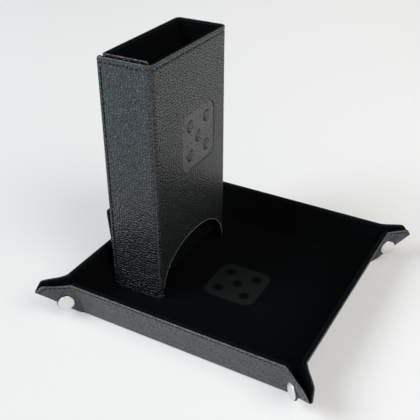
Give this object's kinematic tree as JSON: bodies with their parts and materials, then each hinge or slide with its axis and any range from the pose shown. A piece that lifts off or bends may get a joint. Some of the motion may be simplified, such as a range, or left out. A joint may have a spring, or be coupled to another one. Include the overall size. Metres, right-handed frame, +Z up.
{
  "type": "folding dice tower",
  "caption": "Folding dice tower with an arched outlet, standing in a snap-corner tray, leather outside and velvet inside.",
  "frame": {"origin": "centre of the tray's underside, on the table", "axes": "+Z up, -Y towards the tray's front wall, +X the way the tower's arch faces"},
  "size_m": [0.2272, 0.2272, 0.1986],
  "materials": {
    "leather": "black pebbled imitation leather, satin",
    "velvet": "short black velvet pile",
    "card_board": "grey card board, hidden",
    "snap_metal": "bright nickel-plated snap",
    "magnet_steel": "plated flat magnet, hidden"
  },
  "bodies": {
    "tray_base": {"tray_base_cover": "leather", "tray_base_board": "card_board", "tray_base_lining": "velvet"},
    "front_wall": {"front_wall_cover": "leather", "front_wall_board": "card_board", "front_wall_lining": "velvet"},
    "right_wall": {"right_wall_cover": "leather", "right_wall_board": "card_board", "right_wall_lining": "velvet"},
    "back_wall": {"back_wall_cover": "leather", "back_wall_board": "card_board", "back_wall_lining": "velvet"},
    "left_wall": {"left_wall_cover": "leather", "left_wall_board": "card_board", "left_wall_lining": "velvet"},
    "front_left_ear_front_flank": {"front_left_ear_front_flank": "leather", "front_left_snap_cap": "snap_metal", "front_left_snap_socket": "snap_metal"},
    "front_right_ear_front_flank": {"front_right_ear_front_flank": "leather", "front_right_snap_cap": "snap_metal", "front_right_snap_socket": "snap_metal"},
    "front_right_ear_right_flank": {"front_right_ear_right_flank": "leather", "front_right_snap_stud": "snap_metal", "front_right_snap_post": "snap_metal"},
    "back_right_ear_right_flank": {"back_right_ear_right_flank": "leather", "back_right_snap_cap": "snap_metal", "back_right_snap_socket": "snap_metal"},
    "back_right_ear_back_flank": {"back_right_ear_back_flank": "leather", "back_right_snap_stud": "snap_metal", "back_right_snap_post": "snap_metal"},
    "back_left_ear_back_flank": {"back_left_ear_back_flank": "leather", "back_left_snap_stud": "snap_metal", "back_left_snap_post": "snap_metal"},
    "back_left_ear_left_flank": {"back_left_ear_left_flank": "leather", "back_left_snap_cap": "snap_metal", "back_left_snap_socket": "snap_metal"},
    "front_left_ear_left_flank": {"front_left_ear_left_flank": "leather", "front_left_snap_stud": "snap_metal", "front_left_snap_post": "snap_metal"},
    "near_side": {"near_side_cover": "leather", "near_side_board": "card_board", "near_side_lining": "velvet", "near_side_magnet": "magnet_steel"},
    "arch_panel": {"arch_panel_cover": "leather", "arch_panel_board": "card_board", "arch_panel_lining": "velvet"},
    "far_side": {"far_side_cover": "leather", "far_side_board": "card_board", "far_side_lining": "velvet"},
    "back_panel": {"back_panel_cover": "leather", "back_panel_board": "card_board", "back_panel_lining": "velvet"},
    "tuck_flap": {"tuck_flap_cover": "leather", "tuck_flap_board": "card_board", "tuck_flap_lining": "velvet", "tuck_flap_magnet": "magnet_steel"},
    "upper_ramp": {"upper_ramp": "velvet"},
    "middle_ramp": {"middle_ramp": "velvet"},
    "exit_ramp": {"exit_ramp": "velvet"},
    "rear_flap": {"rear_flap": "leather"}
  },
  "joints": [
    {"name": "front_wall_fold", "type": "hinge", "parent": "tray_base", "child": "front_wall", "pos_m": [0, -0.0875, 0], "axis": [1, 0, 0], "range_deg": [0, 71.6]},
    {"name": "right_wall_fold", "type": "hinge", "parent": "tray_base", "child": "right_wall", "pos_m": [0.0875, 0, 0], "axis": [0, 1, 0], "range_deg": [0, 71.6]},
    {"name": "back_wall_fold", "type": "hinge", "parent": "tray_base", "child": "back_wall", "pos_m": [0, 0.0875, 0], "axis": [-1, 0, 0], "range_deg": [0, 71.6]},
    {"name": "left_wall_fold", "type": "hinge", "parent": "tray_base", "child": "left_wall", "pos_m": [-0.0875, 0, 0], "axis": [0, -1, 0], "range_deg": [0, 71.6]},
    {"name": "front_left_ear_front_flank_fold", "type": "hinge", "parent": "front_wall", "child": "front_left_ear_front_flank", "pos_m": [-0.0875, -0.0875, 0], "axis": [0, 0.3156, -0.9489], "range_deg": [0, 33.29]},
    {"name": "front_right_ear_front_flank_fold", "type": "hinge", "parent": "front_wall", "child": "front_right_ear_front_flank", "pos_m": [0.0875, -0.0875, 0], "axis": [0, -0.3156, 0.9489], "range_deg": [0, 33.29]},
    {"name": "front_right_ear_right_flank_fold", "type": "hinge", "parent": "right_wall", "child": "front_right_ear_right_flank", "pos_m": [0.0875, -0.0875, 0], "axis": [-0.3156, 0, -0.9489], "range_deg": [0, 33.29]},
    {"name": "back_right_ear_right_flank_fold", "type": "hinge", "parent": "right_wall", "child": "back_right_ear_right_flank", "pos_m": [0.0875, 0.0875, 0], "axis": [0.3156, 0, 0.9489], "range_deg": [0, 33.29]},
    {"name": "back_right_ear_back_flank_fold", "type": "hinge", "parent": "back_wall", "child": "back_right_ear_back_flank", "pos_m": [0.0875, 0.0875, 0], "axis": [0, -0.3156, -0.9489], "range_deg": [0, 33.29]},
    {"name": "back_left_ear_back_flank_fold", "type": "hinge", "parent": "back_wall", "child": "back_left_ear_back_flank", "pos_m": [-0.0875, 0.0875, 0], "axis": [0, 0.3156, 0.9489], "range_deg": [0, 33.29]},
    {"name": "back_left_ear_left_flank_fold", "type": "hinge", "parent": "left_wall", "child": "back_left_ear_left_flank", "pos_m": [-0.0875, 0.0875, 0], "axis": [0.3156, 0, -0.9489], "range_deg": [0, 33.29]},
    {"name": "front_left_ear_left_flank_fold", "type": "hinge", "parent": "left_wall", "child": "front_left_ear_left_flank", "pos_m": [-0.0875, -0.0875, 0], "axis": [-0.3156, 0, 0.9489], "range_deg": [0, 33.29]},
    {"name": "tower_lift", "type": "slide", "parent": "tray_base", "child": "near_side", "axis": [0, 0, 1], "range_m": [0, 0.08]},
    {"name": "tower_fold", "type": "hinge", "parent": "near_side", "child": "arch_panel", "pos_m": [-0.0395, -0.0495, 0.1], "axis": [0, 0, -1], "range_deg": [0, 80]},
    {"name": "far_corner_fold", "type": "hinge", "parent": "arch_panel", "child": "far_side", "pos_m": [-0.0433, 0.0486, 0.1], "axis": [0, 0, 1], "range_deg": [0, 80]},
    {"name": "back_corner_fold", "type": "hinge", "parent": "far_side", "child": "back_panel", "pos_m": [-0.0835, 0.0565, 0.1], "axis": [0, 0, -1], "range_deg": [0, 80]},
    {"name": "tuck_corner_fold", "type": "hinge", "parent": "back_panel", "child": "tuck_flap", "pos_m": [-0.0797, -0.0416, 0.1], "axis": [0, 0, 1], "range_deg": [0, 80]},
    {"name": "upper_ramp_fold", "type": "hinge", "parent": "back_panel", "child": "upper_ramp", "pos_m": [-0.0776, 0.0035, 0.158], "axis": [0, 1, 0], "range_deg": [0, 48]},
    {"name": "middle_ramp_fold", "type": "hinge", "parent": "arch_panel", "child": "middle_ramp", "pos_m": [-0.0454, 0.0035, 0.118], "axis": [0, -1, 0], "range_deg": [0, 48]},
    {"name": "exit_ramp_fold", "type": "hinge", "parent": "back_panel", "child": "exit_ramp", "pos_m": [-0.0776, 0.0035, 0.065], "axis": [0, 1, 0], "range_deg": [0, 35]},
    {"name": "rear_flap_hinge", "type": "hinge", "parent": "back_panel", "child": "rear_flap", "pos_m": [-0.0838, 0.0035, 0.02], "axis": [0, -1, 0], "range_deg": [-5, 20]}
  ],
  "couplings": [
    {"joint": "right_wall_fold", "follows": "front_wall_fold", "ratio": 1},
    {"joint": "back_wall_fold", "follows": "front_wall_fold", "ratio": 1},
    {"joint": "left_wall_fold", "follows": "front_wall_fold", "ratio": 1},
    {"joint": "front_left_ear_front_flank_fold", "follows": "front_wall_fold", "ratio": 0.4646},
    {"joint": "front_right_ear_front_flank_fold", "follows": "front_wall_fold", "ratio": 0.4646},
    {"joint": "front_right_ear_right_flank_fold", "follows": "front_wall_fold", "ratio": 0.4646},
    {"joint": "back_right_ear_right_flank_fold", "follows": "front_wall_fold", "ratio": 0.4646},
    {"joint": "back_right_ear_back_flank_fold", "follows": "front_wall_fold", "ratio": 0.4646},
    {"joint": "back_left_ear_back_flank_fold", "follows": "front_wall_fold", "ratio": 0.4646},
    {"joint": "back_left_ear_left_flank_fold", "follows": "front_wall_fold", "ratio": 0.4646},
    {"joint": "front_left_ear_left_flank_fold", "follows": "front_wall_fold", "ratio": 0.4646},
    {"joint": "far_corner_fold", "follows": "tower_fold", "ratio": 1},
    {"joint": "back_corner_fold", "follows": "tower_fold", "ratio": 1},
    {"joint": "tuck_corner_fold", "follows": "tower_fold", "ratio": 1},
    {"joint": "upper_ramp_fold", "follows": "tower_fold", "ratio": 0.6},
    {"joint": "middle_ramp_fold", "follows": "tower_fold", "ratio": 0.6},
    {"joint": "exit_ramp_fold", "follows": "tower_fold", "ratio": 0.4375}
  ]
}
